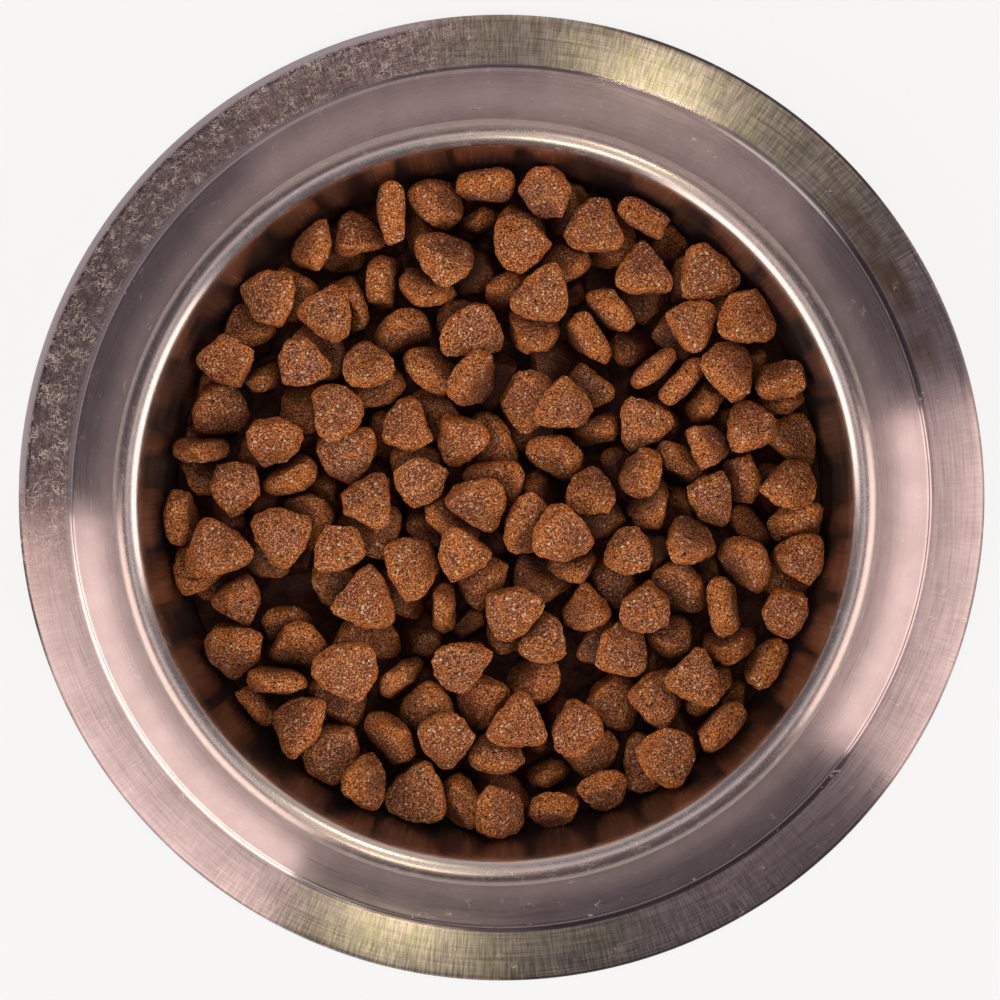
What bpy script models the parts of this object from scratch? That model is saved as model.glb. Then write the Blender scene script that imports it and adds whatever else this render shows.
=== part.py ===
"""A wide-footed steel pet bowl, filled with dry kibble.

The bowl is two pressings. The cup is drawn from one round blank, and its lip is folded
over the top of the skirt. The skirt runs down as a steep neck, flares out in a hollow
curve, steps down at a crease and ends in a shallow flange, whose edge is turned under as
the foot. The kibble is poured into the cup: the top pieces lie loose and are objects of
their own, and the pieces below them are one bed.

Run with blender --background --python part.py, or from Blender's text editor.
Units are metres, +Z is up, and the origin is the middle of the foot, on the table.
"""

from math import cos, hypot, pi, radians, sin, sqrt, tan

import bmesh
import bpy
import numpy as np
from mathutils import Vector

MM = 0.001

# Driving sizes of the bowl
BOWL_HEIGHT = 40.0 * MM
FOOT_RADIUS = 101.5 * MM
CREASE_RADIUS = 90.1 * MM
LIP_RADIUS = 76.7 * MM
MOUTH_RADIUS = 71.5 * MM
SHEET = 0.8 * MM
ASSEMBLY_GAP = 0.3 * MM

# Cup
WALL_DRAFT = radians(11)
FLOOR_FILLET = 10.0 * MM
FLOOR_TOP = 2.6 * MM
CREST_RADIUS = 73.6 * MM
CREST_INNER_DROP = 2.4 * MM
CREST_OUTER_DROP = 3.7 * MM
LIP_SKIRT = 1.5 * MM

# Skirt
NECK_SLOPE = radians(87)
FLARE_FOOT_SLOPE = radians(22)
STEP_SLOPE = radians(55)
STEP_OUTER_BEND = 1.0 * MM
STEP_INNER_BEND = 0.8 * MM
FLANGE_INNER_SLOPE = radians(11)
FLANGE_OUTER_SLOPE = radians(18)
FOOT_BEND = 1.7 * MM
HEM_WIDTH = 3.8 * MM
NECK_IN_LIP = 2.4 * MM

# Kibble
KIBBLE_RADIUS = 6.1 * MM
KIBBLE_THICKNESS = 6.0 * MM
KIBBLE_SIZE_SPREAD = 0.10
KIBBLE_THICKNESS_SPREAD = (0.9, 1.15)
KIBBLE_CORNERS = 0.16
KIBBLE_CORNER_SPREAD = (0.4, 1.0)
KIBBLE_CORNER_SHARPNESS = 0.03
KIBBLE_STRETCH = 0.07
KIBBLE_CROWN_POWER = 2.8
KIBBLE_EDGE_POWER = 0.52
KIBBLE_CLEARANCE = 0.22 * MM

# Settling of the heap
KIBBLES_POURED = 365
HEAP_SEED = 9
START_HEIGHT = 8.0 * MM
START_LAYER = 11.0 * MM
START_SPACING = 14.0 * MM
START_ROWS = 8
START_SCATTER = 2.0 * MM
START_WALL_GAP = 7.5 * MM
FALL_STEPS = 260
FREE_FALL_STEPS = 90
PUSHES_A_STEP = 2
CALM_STEPS = 160
CALM_FALL_STEPS = 50
FALL_FIRST = 0.4 * MM
FALL_LAST = 0.015 * MM
SHAKE_MOVE = 0.25 * MM
SHAKE_TURN = 0.04
PUSH_SHARE = 3.2
FEWEST_TOUCHES = 2
TURN_ARM = 3.2 * MM
SMALLEST_TURN = 1e-12
ROUNDED_DIGITS = 7
PAIR_DISTANCE = 15.8 * MM
PAIR_STEPS = 5

# Balls that stand for a kibble while it settles: how many round its core, how many round
# its edge, and the size of the edge ones as a part of half its thickness
ROUGH_BALLS = (0, 6, 0.86)
CLOSE_BALLS = (6, 12, 0.73)
CORE_BALL_REACH = 0.36

# Loose kibbles, and the bed under them
LOOSE_KIBBLES = 57
BED_GAP = 0.3 * MM
BED_SINK = 0.3 * MM
BED_SHOWS = 4.7 * MM

# Facets
TURN_STEPS = 48
LOOSE_SIDES = 9
LOOSE_RINGS = (0.8,)
BED_SIDES = 6
BED_RINGS = (0.8,)
BED_CORNER_STEPS = 2

# Finishes: colour, metallic, roughness
SATIN_STEEL = ("satin_steel", (0.56, 0.53, 0.53, 1.0), 1.0, 0.36)
POLISHED_STEEL = ("polished_steel", (0.62, 0.59, 0.58, 1.0), 1.0, 0.16)
KIBBLE_BROWN = ("kibble_brown", (0.16, 0.065, 0.028, 1.0), 0.0, 0.85)


def clear_scene():
    for thing in list(bpy.data.objects):
        bpy.data.objects.remove(thing, do_unlink=True)


def finish_material(finish):
    name, colour, metallic, roughness = finish
    material = bpy.data.materials.get(name) or bpy.data.materials.new(name)
    material.use_nodes = True
    shader = material.node_tree.nodes["Principled BSDF"]
    shader.inputs["Base Color"].default_value = colour
    shader.inputs["Metallic"].default_value = metallic
    shader.inputs["Roughness"].default_value = roughness
    material.diffuse_color = colour
    return material


def add_object(name, mesh, finish):
    piece = bpy.data.objects.new(name, mesh)
    bpy.context.scene.collection.objects.link(piece)
    mesh.materials.append(finish_material(finish))
    return piece


# Profiles

def bend(start, radius, slope_from, slope_to, steps):
    """Points of a bend that starts at a point, for a sheet that runs outwards and down.

    A slope is the angle that the sheet falls. The bend is convex where the slope grows.
    """
    side = 1.0 if slope_to > slope_from else -1.0
    centre_x = start[0] - side * radius * sin(slope_from)
    centre_z = start[1] - side * radius * cos(slope_from)
    points = []
    for step in range(1, steps + 1):
        slope = slope_from + (slope_to - slope_from) * step / steps
        points.append((centre_x + side * radius * sin(slope), centre_z + side * radius * cos(slope)))
    return points


def quarter_ellipse(centre, half_width, half_height, angle_from, angle_to, steps):
    points = []
    for step in range(steps + 1):
        angle = angle_from + (angle_to - angle_from) * step / steps
        points.append((centre[0] + half_width * cos(angle), centre[1] + half_height * sin(angle)))
    return points


def offset_path(path, distance):
    """The path moved sideways, to its right as it runs, with mitred corners."""
    moved = []
    for index, point in enumerate(path):
        before = path[max(index - 1, 0)]
        after = path[min(index + 1, len(path) - 1)]
        normals = []
        for a, b in ((before, point), (point, after)):
            length = hypot(b[0] - a[0], b[1] - a[1])
            if length > 0:
                normals.append(((b[1] - a[1]) / length, -(b[0] - a[0]) / length))
        mean_x = sum(n[0] for n in normals) / len(normals)
        mean_z = sum(n[1] for n in normals) / len(normals)
        stretch = distance / (mean_x ** 2 + mean_z ** 2)
        moved.append((point[0] + mean_x * stretch, point[1] + mean_z * stretch))
    return moved


def turned(name, profile, closed, finish):
    """A profile in the XZ plane turned about the Z axis, with its outer side running down."""
    mesh = bpy.data.meshes.new(name)
    corners = [(x, 0.0, z) for x, z in profile]
    edges = [(i, i + 1) for i in range(len(corners) - 1)]
    if closed:
        edges.append((len(corners) - 1, 0))
    mesh.from_pydata(corners, edges, [])
    piece = add_object(name, mesh, finish)
    screw = piece.modifiers.new("turn", "SCREW")
    screw.axis = "Z"
    screw.steps = TURN_STEPS
    screw.render_steps = TURN_STEPS
    screw.use_merge_vertices = True
    screw.merge_threshold = 0.00001
    screw.use_smooth_shade = True
    return piece


# Cup

def wall_radius(height):
    """Inner radius of the cup's straight wall at a height."""
    top_of_wall = BOWL_HEIGHT - CREST_INNER_DROP
    return MOUTH_RADIUS - (top_of_wall - height) * tan(WALL_DRAFT)


def floor_fillet_centre():
    """Centre of the rounded corner between the cup's wall and its floor."""
    height = FLOOR_TOP + FLOOR_FILLET
    return wall_radius(height) - FLOOR_FILLET / cos(WALL_DRAFT), height


def cup_inner_path(gap=0.0, steps=5):
    """From the middle of the floor out and up to the top of the straight wall, less a gap."""
    centre_x, centre_z = floor_fillet_centre()
    radius = FLOOR_FILLET - gap
    path = [(0.0, centre_z - radius)]
    for step in range(steps + 1):
        angle = -pi / 2 + (pi / 2 - WALL_DRAFT) * step / steps
        path.append((centre_x + radius * cos(angle), centre_z + radius * sin(angle)))
    return path


def make_cup():
    crest_in = (CREST_RADIUS, BOWL_HEIGHT - CREST_INNER_DROP)
    crest_out = (CREST_RADIUS, BOWL_HEIGHT - CREST_OUTER_DROP)
    face = cup_inner_path()
    face += quarter_ellipse(crest_in, CREST_RADIUS - MOUTH_RADIUS, CREST_INNER_DROP, pi, pi / 2, 4)
    face += quarter_ellipse(crest_out, LIP_RADIUS - CREST_RADIUS, CREST_OUTER_DROP, pi / 2, 0, 5)[1:]
    face.append((LIP_RADIUS, crest_out[1] - LIP_SKIRT))
    back = offset_path(face, SHEET)
    back[0] = (0.0, back[0][1])
    return turned("cup", face + back[::-1], False, POLISHED_STEEL)


# Skirt

def skirt_face():
    """The skirt's outer face, from the top of its neck down to the end of the turned foot."""
    foot_centre = FOOT_RADIUS - FOOT_BEND
    flange_end_x = foot_centre + FOOT_BEND * sin(FLANGE_OUTER_SLOPE)
    flange_end_z = FOOT_BEND + FOOT_BEND * cos(FLANGE_OUTER_SLOPE)
    flange_bend = (flange_end_x - CREASE_RADIUS) / (sin(FLANGE_OUTER_SLOPE) - sin(FLANGE_INNER_SLOPE))
    flange_drop = flange_bend * (cos(FLANGE_INNER_SLOPE) - cos(FLANGE_OUTER_SLOPE))
    inner_run = STEP_INNER_BEND * (sin(STEP_SLOPE) - sin(FLANGE_INNER_SLOPE))
    inner_drop = STEP_INNER_BEND * (cos(FLANGE_INNER_SLOPE) - cos(STEP_SLOPE))
    outer_run = STEP_OUTER_BEND * (sin(STEP_SLOPE) - sin(FLARE_FOOT_SLOPE))
    outer_drop = STEP_OUTER_BEND * (cos(FLARE_FOOT_SLOPE) - cos(STEP_SLOPE))
    flare_foot_x = CREASE_RADIUS - inner_run - outer_run
    flare_foot_z = flange_end_z + flange_drop + inner_drop + outer_drop

    neck_radius = LIP_RADIUS - SHEET - ASSEMBLY_GAP
    neck_top = BOWL_HEIGHT - CREST_OUTER_DROP - LIP_SKIRT + NECK_IN_LIP
    flare_height = (flare_foot_x - neck_radius) / (sin(NECK_SLOPE) - sin(FLARE_FOOT_SLOPE))
    flare_height *= cos(FLARE_FOOT_SLOPE) - cos(NECK_SLOPE)
    neck_lean = (neck_top - flare_foot_z - flare_height) / tan(NECK_SLOPE)
    flare_top_x = neck_radius + neck_lean
    flare_bend = (flare_foot_x - flare_top_x) / (sin(NECK_SLOPE) - sin(FLARE_FOOT_SLOPE))
    flare_top_z = flare_foot_z + flare_bend * (cos(FLARE_FOOT_SLOPE) - cos(NECK_SLOPE))

    path = [(neck_radius, neck_top), (flare_top_x, flare_top_z)]
    path += bend(path[-1], flare_bend, NECK_SLOPE, FLARE_FOOT_SLOPE, 6)
    path += bend(path[-1], STEP_OUTER_BEND, FLARE_FOOT_SLOPE, STEP_SLOPE, 2)
    path += bend(path[-1], STEP_INNER_BEND, STEP_SLOPE, FLANGE_INNER_SLOPE, 2)
    path += bend(path[-1], flange_bend, FLANGE_INNER_SLOPE, FLANGE_OUTER_SLOPE, 2)
    path += bend(path[-1], FOOT_BEND, FLANGE_OUTER_SLOPE, pi, 5)
    path.append((foot_centre - HEM_WIDTH, 0.0))
    return path


def make_skirt():
    face = skirt_face()
    back = offset_path(face, SHEET)
    return turned("skirt", face + back[::-1], True, SATIN_STEEL)


# Kibble

def outline(shape, angle):
    """Distance from a kibble's middle to its edge before it is stretched: a rounded triangle."""
    radius, _, corners, _ = shape
    return radius * (1 + corners * cos(3 * angle) + KIBBLE_CORNER_SHARPNESS * cos(6 * angle))


def kibble_point(shape, angle, reach, side):
    """A point of a kibble about its own middle, on one of its two crowned faces.

    Reach goes from 0 in the middle of a face to 1 on the edge, and side is +1 or -1.
    """
    _, thickness, _, stretch = shape
    distance = outline(shape, angle) * reach
    crown = (1 - reach ** KIBBLE_CROWN_POWER) ** KIBBLE_EDGE_POWER
    return (
        distance * stretch * cos(angle),
        distance / stretch * sin(angle),
        side * crown * thickness / 2,
    )


def random_shape(draw):
    """Radius, thickness, strength of the three corners, and stretch of one kibble."""
    size = 1 + KIBBLE_SIZE_SPREAD * draw.uniform(-1, 1)
    thickness = KIBBLE_THICKNESS * size * draw.uniform(*KIBBLE_THICKNESS_SPREAD)
    corners = KIBBLE_CORNERS * draw.uniform(*KIBBLE_CORNER_SPREAD)
    return KIBBLE_RADIUS * size, thickness, corners, 1 + KIBBLE_STRETCH * draw.uniform(-1, 1)


def kibble_balls(shape, layout):
    """Balls that fill out a kibble and its clearance: their places in it, and their radii."""
    core_count, edge_count, edge_size = layout
    _, thickness, _, stretch = shape
    half = thickness / 2
    balls = [(0.0, 0.0, half)]
    for step in range(core_count):
        angle = 2 * pi * step / core_count
        reach = CORE_BALL_REACH * shape[0]
        balls.append((reach * stretch * cos(angle), reach / stretch * sin(angle), half))
    for step in range(edge_count):
        angle = 2 * pi * step / edge_count
        reach = outline(shape, angle) - edge_size * half
        balls.append((reach * stretch * cos(angle), reach / stretch * sin(angle), edge_size * half))
    x, y, radii = np.array(balls).T
    return np.column_stack((x, y, np.zeros(len(x)))), radii + KIBBLE_CLEARANCE


def all_balls(shapes, layout):
    """The balls of all the kibbles, as one array of places and one of radii."""
    balls = [kibble_balls(shape, layout) for shape in shapes]
    return np.array([places for places, _ in balls]), np.array([radii for _, radii in balls])


# Settling of the heap

class Pushes:
    """The moves and turns that undo the overlaps in the heap, added up for each kibble."""

    def __init__(self, count):
        self.count = count
        self.moves = np.zeros((count, 3))
        self.spins = np.zeros((count, 3))
        self.touches = np.zeros(count)

    def add(self, kibbles, arms, pushes):
        """Pushes some kibbles, each at a point that is given from the kibble's middle."""
        spins = np.cross(arms, pushes) / TURN_ARM ** 2
        for axis in range(3):
            self.moves[:, axis] += np.bincount(kibbles, pushes[:, axis], self.count)
            self.spins[:, axis] += np.bincount(kibbles, spins[:, axis], self.count)
        self.touches += np.bincount(kibbles, minlength=self.count)


def give(arms, normals):
    """How readily kibbles move along the normals when they are pushed at the ends of the arms."""
    return 1 + (np.cross(arms, normals) ** 2).sum(axis=1) / TURN_ARM ** 2


def push_neighbours(pushes, centres, balls, radii, pairs):
    """Pushes apart the balls of neighbouring kibbles that overlap."""
    first, second = pairs
    squares = (balls ** 2).sum(axis=2)
    apart = squares[first][:, :, None] + squares[second][:, None, :]
    apart -= 2 * balls[first] @ balls[second].transpose(0, 2, 1)
    reach = radii[first][:, :, None] + radii[second][:, None, :]
    pair, i, j = np.nonzero(apart < reach ** 2)
    first = first[pair]
    second = second[pair]
    lines = balls[first, i] - balls[second, j]
    lengths = np.linalg.norm(lines, axis=1)
    normals = lines / lengths[:, None]
    first_arms = balls[first, i] - centres[first] - normals * radii[first, i][:, None]
    second_arms = balls[second, j] - centres[second] + normals * radii[second, j][:, None]
    strength = (reach[pair, i, j] - lengths) / (give(first_arms, normals) + give(second_arms, normals))
    pushes.add(first, first_arms, normals * strength[:, None])
    pushes.add(second, second_arms, -normals * strength[:, None])


def push_off_cup(pushes, centres, balls, radii):
    """Pushes the balls that reach into the cup's wall, floor or rounded corner."""
    out = np.hypot(balls[:, :, 0], balls[:, :, 1])
    height = balls[:, :, 2]
    corner_out, corner_height = floor_fillet_centre()
    across = out - corner_out
    down = corner_height - height
    away = np.hypot(across, down)
    in_corner = (across > 0) & (down > 0)
    faces = (
        ((out - wall_radius(height)) * cos(WALL_DRAFT) + radii, -cos(WALL_DRAFT), sin(WALL_DRAFT)),
        (FLOOR_TOP + radii - height, 0.0, 1.0),
        (np.where(in_corner, away + radii - FLOOR_FILLET, 0.0), -across / away, down / away),
    )
    for depth, inwards, upwards in faces:
        kibble, ball = np.nonzero(depth > 0)
        inwards = np.broadcast_to(inwards, out.shape)[kibble, ball]
        upwards = np.broadcast_to(upwards, out.shape)[kibble, ball]
        flat = balls[kibble, ball, :2] * (inwards / out[kibble, ball])[:, None]
        normals = np.column_stack((flat, upwards))
        arms = balls[kibble, ball] - centres[kibble] - normals * radii[kibble, ball][:, None]
        strength = depth[kibble, ball] / give(arms, normals)
        pushes.add(kibble, arms, normals * strength[:, None])


def turned_by(turns, spins):
    """Turn matrices after a further small turn of each, given as rotation vectors."""
    angles = np.linalg.norm(spins, axis=1)
    axes = spins / np.maximum(angles, SMALLEST_TURN)[:, None]
    cross = np.zeros((len(spins), 3, 3))
    for x, y, z in ((0, 1, 2), (1, 2, 0), (2, 0, 1)):
        cross[:, z, y] = axes[:, x]
        cross[:, y, z] = -axes[:, x]
    sine = np.sin(angles)[:, None, None]
    rest = (1 - np.cos(angles))[:, None, None]
    return (np.eye(3) + sine * cross + rest * (cross @ cross)) @ turns


def push_apart(centres, turns, balls, pairs):
    """Undoes a share of every overlap.

    Places are rounded, so that the last digits of a computer's arithmetic don't change the heap.
    """
    middles, radii = balls
    placed = np.einsum("kij,kbj->kbi", turns, middles) + centres[:, None]
    pushes = Pushes(len(centres))
    push_neighbours(pushes, centres, placed, radii, pairs)
    push_off_cup(pushes, centres, placed, radii)
    share = PUSH_SHARE / np.maximum(FEWEST_TOUCHES, pushes.touches)[:, None]
    centres = np.round(centres + pushes.moves * share, ROUNDED_DIGITS)
    turns = np.round(turned_by(turns, pushes.spins * share), ROUNDED_DIGITS)
    return centres, turns


def near_pairs(centres):
    """Pairs of kibbles that are near enough to touch."""
    lines = centres[:, None] - centres
    return np.nonzero(np.triu((lines ** 2).sum(axis=2) < PAIR_DISTANCE ** 2, 1))


def starting_places(draw):
    """Loose layers of kibble in and over the cup, before they fall."""
    places = []
    height = START_HEIGHT
    while len(places) < KIBBLES_POURED:
        room = wall_radius(height) - START_WALL_GAP
        shift_x, shift_y = draw.uniform(0, START_SPACING, 2)
        layer = []
        for row in range(-START_ROWS, START_ROWS + 1):
            for column in range(-START_ROWS, START_ROWS + 1):
                x = (column + row % 2 / 2) * START_SPACING + shift_x
                y = row * START_SPACING * sqrt(3) / 2 + shift_y
                if hypot(x, y) < room:
                    layer.append((x, y, height))
        draw.shuffle(layer)
        places += layer
        height += START_LAYER
    places = np.array(places[:KIBBLES_POURED])
    return places + draw.uniform(-START_SCATTER, START_SCATTER, places.shape)


def random_turns(draw, count):
    """Turn matrices that point every way equally often."""
    drawn = draw.normal(0, 1, (4, count))
    w, x, y, z = drawn / np.linalg.norm(drawn, axis=0)
    rows = np.array((
        (1 - 2 * (y * y + z * z), 2 * (x * y - z * w), 2 * (x * z + y * w)),
        (2 * (x * y + z * w), 1 - 2 * (x * x + z * z), 2 * (y * z - x * w)),
        (2 * (x * z - y * w), 2 * (y * z + x * w), 1 - 2 * (x * x + y * y)),
    ))
    return rows.transpose(2, 0, 1)


def settle_heap():
    """Lets the kibbles fall into the cup and push each other apart until they lie clear."""
    draw = np.random.default_rng(HEAP_SEED)
    shapes = [random_shape(draw) for _ in range(KIBBLES_POURED)]
    centres = starting_places(draw)
    turns = random_turns(draw, KIBBLES_POURED)
    rough = all_balls(shapes, ROUGH_BALLS)
    close = all_balls(shapes, CLOSE_BALLS)
    for step in range(FALL_STEPS):
        late = max(0.0, (step - FREE_FALL_STEPS) / (FALL_STEPS - FREE_FALL_STEPS))
        shake = 1 - step / FALL_STEPS
        centres[:, 2] -= FALL_FIRST * (FALL_LAST / FALL_FIRST) ** late
        centres += draw.normal(0, SHAKE_MOVE * shake, centres.shape)
        turns = turned_by(turns, draw.normal(0, SHAKE_TURN * shake, centres.shape))
        if step % PAIR_STEPS == 0:
            pairs = near_pairs(centres)
        for _ in range(PUSHES_A_STEP):
            centres, turns = push_apart(centres, turns, rough, pairs)
    for step in range(CALM_STEPS):
        if step % PAIR_STEPS == 0:
            pairs = near_pairs(centres)
        if step < CALM_FALL_STEPS:
            centres[:, 2] -= FALL_LAST
        centres, turns = push_apart(centres, turns, close, pairs)
    return [{"shape": shape, "place": place, "turn": turn}
            for shape, place, turn in zip(shapes, centres, turns)]


# Kibble meshes

def kibble_ring(kibble, reach, side, sides):
    """Points round a kibble at one reach, where the kibble lies."""
    angles = [2 * pi * step / sides for step in range(sides)]
    points = [kibble_point(kibble["shape"], angle, reach, side) for angle in angles]
    return np.array(points) @ kibble["turn"].T + kibble["place"]


def kibble_span(kibble, sides, rings):
    """Heights of the lowest and the highest corner of a kibble's mesh."""
    heights = []
    for side in (1, -1):
        for reach in (1.0, *rings, 0.0):
            heights += list(kibble_ring(kibble, reach, side, sides)[:, 2])
    return min(heights), max(heights)


def add_face(bm, corners, side):
    bm.faces.new(corners if side > 0 else corners[::-1])


def kibble_mesh(bm, kibble, sides, rings):
    """Adds one kibble to a mesh, where it lies, as rings of corners closed at both faces."""
    edge = [bm.verts.new(point) for point in kibble_ring(kibble, 1.0, 1, sides)]
    for side in (1, -1):
        outer = edge
        for reach in rings:
            inner = [bm.verts.new(point) for point in kibble_ring(kibble, reach, side, sides)]
            for step in range(sides):
                after = (step + 1) % sides
                add_face(bm, (outer[step], outer[after], inner[after], inner[step]), side)
            outer = inner
        pole = bm.verts.new(kibble_ring(kibble, 0.0, side, 1)[0])
        for step in range(sides):
            add_face(bm, (outer[step], outer[(step + 1) % sides], pole), side)


def kibbles_object(name, kibbles, sides, rings, middle):
    """One object that holds some kibbles, with its origin at a point."""
    bm = bmesh.new()
    for kibble in kibbles:
        kibble_mesh(bm, kibble, sides, rings)
    bmesh.ops.translate(bm, verts=bm.verts, vec=-Vector(middle))
    mesh = bpy.data.meshes.new(name)
    bm.to_mesh(mesh)
    bm.free()
    mesh.shade_smooth()
    piece = add_object(name, mesh, KIBBLE_BROWN)
    piece.location = middle
    return piece


def split_heap():
    """The loose kibbles, the kibbles that show out of the bed, and the height of the bed's top.

    The ones that would only just touch the bed are lowered a little, so that they join it.
    """
    heap = settle_heap()
    heap.sort(key=lambda kibble: kibble_span(kibble, LOOSE_SIDES, LOOSE_RINGS)[0], reverse=True)
    loose = heap[:LOOSE_KIBBLES]
    bed_top = kibble_span(loose[-1], LOOSE_SIDES, LOOSE_RINGS)[0] - BED_GAP
    shown = []
    for kibble in heap[LOOSE_KIBBLES:]:
        lowest, highest = kibble_span(kibble, BED_SIDES, BED_RINGS)
        if highest > bed_top + BED_SHOWS:
            kibble["place"][2] -= max(0.0, lowest - (bed_top - BED_SINK))
            shown.append(kibble)
    return loose, shown, bed_top


def make_kibble():
    """The loose top kibbles as objects, and a bed with the ones that reach out of it."""
    loose, shown, bed_top = split_heap()
    for index, kibble in enumerate(loose):
        kibbles_object(f"kibble_{index + 1:02d}", [kibble], LOOSE_SIDES, LOOSE_RINGS, kibble["place"])

    profile = [point for point in cup_inner_path(BED_GAP, BED_CORNER_STEPS) if point[1] < bed_top]
    profile.append((wall_radius(bed_top) - BED_GAP, bed_top))
    profile.append((0.0, bed_top))
    bed = turned("kibble_bed", profile[::-1], False, KIBBLE_BROWN)
    lumps = kibbles_object("bed_kibbles", shown, BED_SIDES, BED_RINGS, (0.0, 0.0, 0.0))
    lumps.hide_render = True
    lumps.hide_viewport = True
    lumps.display_type = "WIRE"
    join = bed.modifiers.new("join_kibbles", "BOOLEAN")
    join.operation = "UNION"
    join.solver = "EXACT"
    join.object = lumps


def main():
    clear_scene()
    make_cup()
    make_skirt()
    make_kibble()


main()
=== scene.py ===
"""Looks of the pet bowl filled with kibble: brushed steel, modelled kibble, light and camera."""

from math import cos, hypot, pi, radians, sin, sqrt, tan

import bpy
import numpy as np
from mathutils import Matrix, Vector, noise


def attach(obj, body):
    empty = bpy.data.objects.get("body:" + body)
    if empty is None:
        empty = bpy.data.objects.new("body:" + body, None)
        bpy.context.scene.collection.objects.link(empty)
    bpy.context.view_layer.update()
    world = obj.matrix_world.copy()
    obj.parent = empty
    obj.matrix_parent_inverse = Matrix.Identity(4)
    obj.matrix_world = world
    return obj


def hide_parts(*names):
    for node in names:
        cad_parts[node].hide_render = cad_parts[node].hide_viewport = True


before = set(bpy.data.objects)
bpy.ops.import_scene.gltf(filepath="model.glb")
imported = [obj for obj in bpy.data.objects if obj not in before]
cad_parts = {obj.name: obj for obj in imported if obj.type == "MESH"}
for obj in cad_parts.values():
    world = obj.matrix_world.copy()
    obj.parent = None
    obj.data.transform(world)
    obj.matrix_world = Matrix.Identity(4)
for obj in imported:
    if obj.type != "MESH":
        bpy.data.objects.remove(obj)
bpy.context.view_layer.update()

MM = 0.001

# Sizes of the bowl, as in its construction, apart from the lip's seam, which is closer here
BOWL_HEIGHT = 40.0 * MM
FOOT_RADIUS = 101.5 * MM
CREASE_RADIUS = 90.1 * MM
LIP_RADIUS = 76.7 * MM
MOUTH_RADIUS = 71.5 * MM
SHEET = 0.8 * MM
SEAM_GAP = 0.1 * MM

# Cup
WALL_DRAFT = radians(11)
FLOOR_FILLET = 10.0 * MM
FLOOR_TOP = 2.6 * MM
CREST_RADIUS = 73.6 * MM
CREST_INNER_DROP = 2.4 * MM
CREST_OUTER_DROP = 3.7 * MM
LIP_SKIRT = 1.5 * MM
CREST_INNER_ROLL = (2.5 * MM, 2.1 * MM)

# Skirt
NECK_SLOPE = radians(87)
FLARE_FOOT_SLOPE = radians(22)
STEP_SLOPE = radians(55)
STEP_OUTER_BEND = 1.0 * MM
STEP_INNER_BEND = 0.8 * MM
FLANGE_INNER_SLOPE = radians(11)
FLANGE_OUTER_SLOPE = radians(18)
FOOT_BEND = 1.7 * MM
HEM_WIDTH = 3.8 * MM
NECK_IN_LIP = 2.4 * MM

# Kibble
KIBBLE_RADIUS = 6.1 * MM
KIBBLE_THICKNESS = 6.0 * MM
KIBBLE_SIZE_SPREAD = 0.10
KIBBLE_THICKNESS_SPREAD = (0.9, 1.15)
KIBBLE_CORNERS = 0.16
KIBBLE_CORNER_SPREAD = (0.4, 1.0)
KIBBLE_CORNER_SHARPNESS = 0.03
KIBBLE_STRETCH = 0.07
KIBBLE_CROWN_POWER = 2.8
KIBBLE_EDGE_POWER = 0.52
KIBBLE_CLEARANCE = 0.22 * MM

# Settling of the heap
KIBBLES_POURED = 365
HEAP_SEED = 9
START_HEIGHT = 8.0 * MM
START_LAYER = 11.0 * MM
START_SPACING = 14.0 * MM
START_ROWS = 8
START_SCATTER = 2.0 * MM
START_WALL_GAP = 7.5 * MM
FALL_STEPS = 260
FREE_FALL_STEPS = 90
PUSHES_A_STEP = 2
CALM_STEPS = 160
CALM_FALL_STEPS = 50
FALL_FIRST = 0.4 * MM
FALL_LAST = 0.015 * MM
SHAKE_MOVE = 0.25 * MM
SHAKE_TURN = 0.04
PUSH_SHARE = 3.2
FEWEST_TOUCHES = 2
TURN_ARM = 3.2 * MM
SMALLEST_TURN = 1e-12
ROUNDED_DIGITS = 7
PAIR_DISTANCE = 15.8 * MM
PAIR_STEPS = 5

# Balls that stand for a kibble while it settles: how many round its core, how many round
# its edge, and the size of the edge ones as a part of half its thickness
ROUGH_BALLS = (0, 6, 0.86)
CLOSE_BALLS = (6, 12, 0.73)
CORE_BALL_REACH = 0.36

# Loose kibbles, and the bed under them
LOOSE_KIBBLES = 57
BED_GAP = 0.3 * MM
BED_SINK = 0.3 * MM
BED_SHOWS = 4.7 * MM

# Corners of a kibble in the construction, by which its heap is split: how many round it, and
# the reach of the ring between its middle and its edge
LOOSE_CORNERS = (9, 0.8)
BED_CORNERS = (6, 0.8)

# Facets of the modelled surfaces
TURN_STEPS = 320
ARC_DETAIL = 5
LOOSE_GRID = 22
LOWER_GRID = 12
SHARP_ANGLE = radians(50)

# Picture
PHOTO_PIXELS = 1000
FOOT_CENTRE_PIXELS = (499.7, 499.2)
FOOT_PIXEL_RADIUS = 483.0
CAMERA_HEIGHT = 700.0 * MM
CAMERA_OFFSET = (19.0 * MM, 16.5 * MM)

# Surfaces of the kibble: fuller faces that are cut flat, and layers of lumps of a size and height
SKIN_CROWN_POWER = 4.0
SKIN_EDGE_POWER = 0.5
FACE_CUT = (0.80, 0.92)
FACE_LEAN = 0.10
CHIPS = 8
CHIP_CUT = (0.76, 0.96)
RIDGE_WIDTH = 0.30 * MM
SURFACE_SEED = 4
NOISE_REACH = 100
KIBBLE_LUMPS = ((6.0 * MM, 0.50 * MM), (1.9 * MM, 0.30 * MM), (0.8 * MM, 0.16 * MM))
LUMPS_INWARDS = 0.35

# Kibbles of the bed are modelled where they come at least this near to the bed's top
LOWER_KIBBLE_DEPTH = 1.0 * MM

# Depth in the heap, by which painted shade darkens the kibble: how far a kibble shades the ones
# round it, and the ring beside the wall where the painted shade fades by a part
DEPTH_REACH = 12.0 * MM
DEEPEST = 10.0 * MM
WALL_SIDE = (55.0 * MM, 66.0 * MM)
WALL_LIGHT = 0.6

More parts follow.
